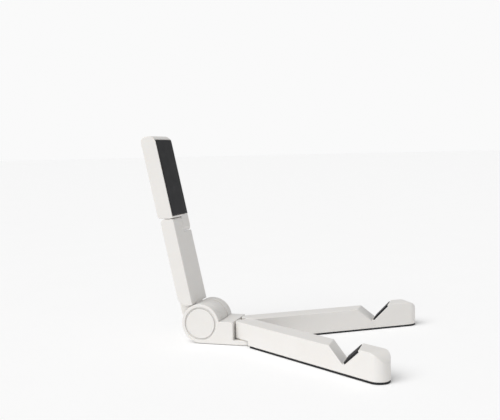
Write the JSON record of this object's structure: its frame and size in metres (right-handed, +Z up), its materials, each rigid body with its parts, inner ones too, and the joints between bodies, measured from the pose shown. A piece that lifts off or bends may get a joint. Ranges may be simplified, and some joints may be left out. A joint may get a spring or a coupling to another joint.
{
  "type": "tablet_stand",
  "caption": "Fold-up tablet stand: a hinged two-part arm leans back from a round-cheeked hub, and two notched legs swing out of the hub to hold the tablet's lower edge.",
  "frame": {"origin": "The centre of the hub's foot pad, on the surface that the stand stands on.", "axes": "+X is the user's right, +Y is away from the user, +Z is up."},
  "size_m": [0.1716, 0.1881, 0.1519],
  "materials": {
    "white_plastic": "satin",
    "black_rubber": "matt",
    "steel": "zinc plated",
    "brass": "turned",
    "nylon": "natural"
  },
  "bodies": {
    "base": {"hub_yoke": "white_plastic", "hub_foot": "black_rubber", "left_hub_cap": "white_plastic", "right_hub_cap": "white_plastic", "tilt_bolt": "steel", "tilt_nut": "steel", "tilt_washer": "steel", "disc_springs": "steel", "left_friction_disc": "nylon", "right_friction_disc": "nylon", "left_thrust_washer": "nylon", "right_thrust_washer": "nylon"},
    "arm": {"lower_arm_shell": "white_plastic", "lower_arm_cover": "white_plastic", "lower_arm_screws": "steel", "barrel_bush": "steel", "extension_pin": "steel"},
    "extension": {"extension_shell": "white_plastic", "extension_cover": "white_plastic", "extension_screws": "steel", "extension_pad": "black_rubber"},
    "left_leg": {"left_leg_shell": "white_plastic", "left_leg_base": "white_plastic", "left_leg_screws": "steel", "left_sole": "black_rubber", "left_toe_pad": "black_rubber", "left_pivot_insert": "brass", "left_pivot_screw": "steel"},
    "right_leg": {"right_leg_shell": "white_plastic", "right_leg_base": "white_plastic", "right_leg_screws": "steel", "right_sole": "black_rubber", "right_toe_pad": "black_rubber", "right_pivot_insert": "brass", "right_pivot_screw": "steel"}
  },
  "joints": [
    {"name": "arm_tilt", "type": "hinge", "parent": "base", "child": "arm", "pos_m": [0, 0.02, 0.0147], "axis": [-1, 0, 0], "range_deg": [-101.5, 8]},
    {"name": "extension_flip", "type": "hinge", "parent": "arm", "child": "extension", "pos_m": [0, 0.04618, 0.08786], "axis": [-1, 0, 0], "range_deg": [0, 90]},
    {"name": "left_leg_swing", "type": "hinge", "parent": "base", "child": "left_leg", "pos_m": [-0.0075, -0.014, 0.004], "axis": [0, 0, -1], "range_deg": [-34.4, 1.6]},
    {"name": "right_leg_swing", "type": "hinge", "parent": "base", "child": "right_leg", "pos_m": [0.0075, -0.014, 0.004], "axis": [0, 0, 1], "range_deg": [-34.4, 1.6]}
  ]
}
